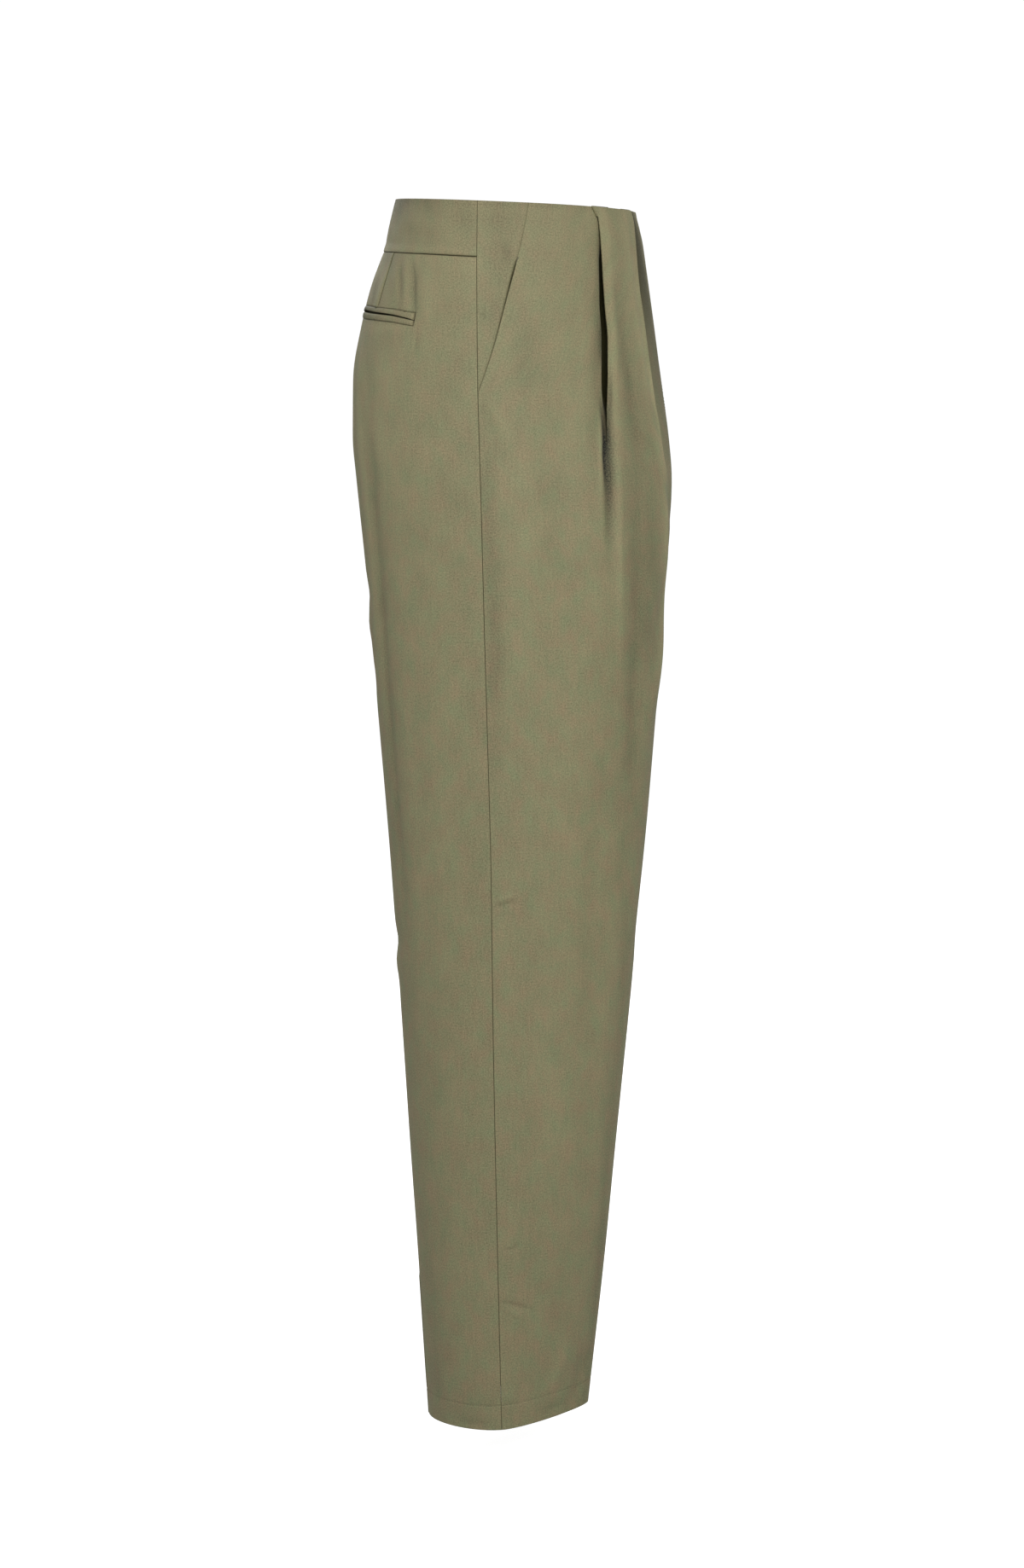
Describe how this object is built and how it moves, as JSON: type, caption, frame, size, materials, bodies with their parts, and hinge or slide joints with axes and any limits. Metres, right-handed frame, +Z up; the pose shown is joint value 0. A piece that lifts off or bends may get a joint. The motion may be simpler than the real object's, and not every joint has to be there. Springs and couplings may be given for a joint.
{
  "type": "pleated high-waisted trousers",
  "caption": "High-waisted cloth trousers held open as worn, with box pleats at the front, slanted side pockets, a back waistband, welt pockets and tapered legs.",
  "frame": {"origin": "centre of the waist opening, level with the top edge at the side seams", "axes": "+Z up out of the waist, -Y towards the front of the garment, -X towards the wearer's right"},
  "size_m": [0.379, 0.2734, 1.0517],
  "materials": {
    "cloth": "matt sage-olive twill"
  },
  "bodies": {
    "root": {"front_right": "cloth", "front_left": "cloth", "back_right": "cloth", "back_left": "cloth", "back_waistband": "cloth", "pocket_side_right": "cloth", "pocket_side_left": "cloth", "welt_upper_right": "cloth", "welt_upper_left": "cloth", "welt_lower_right": "cloth", "welt_lower_left": "cloth"}
  },
  "joints": []
}
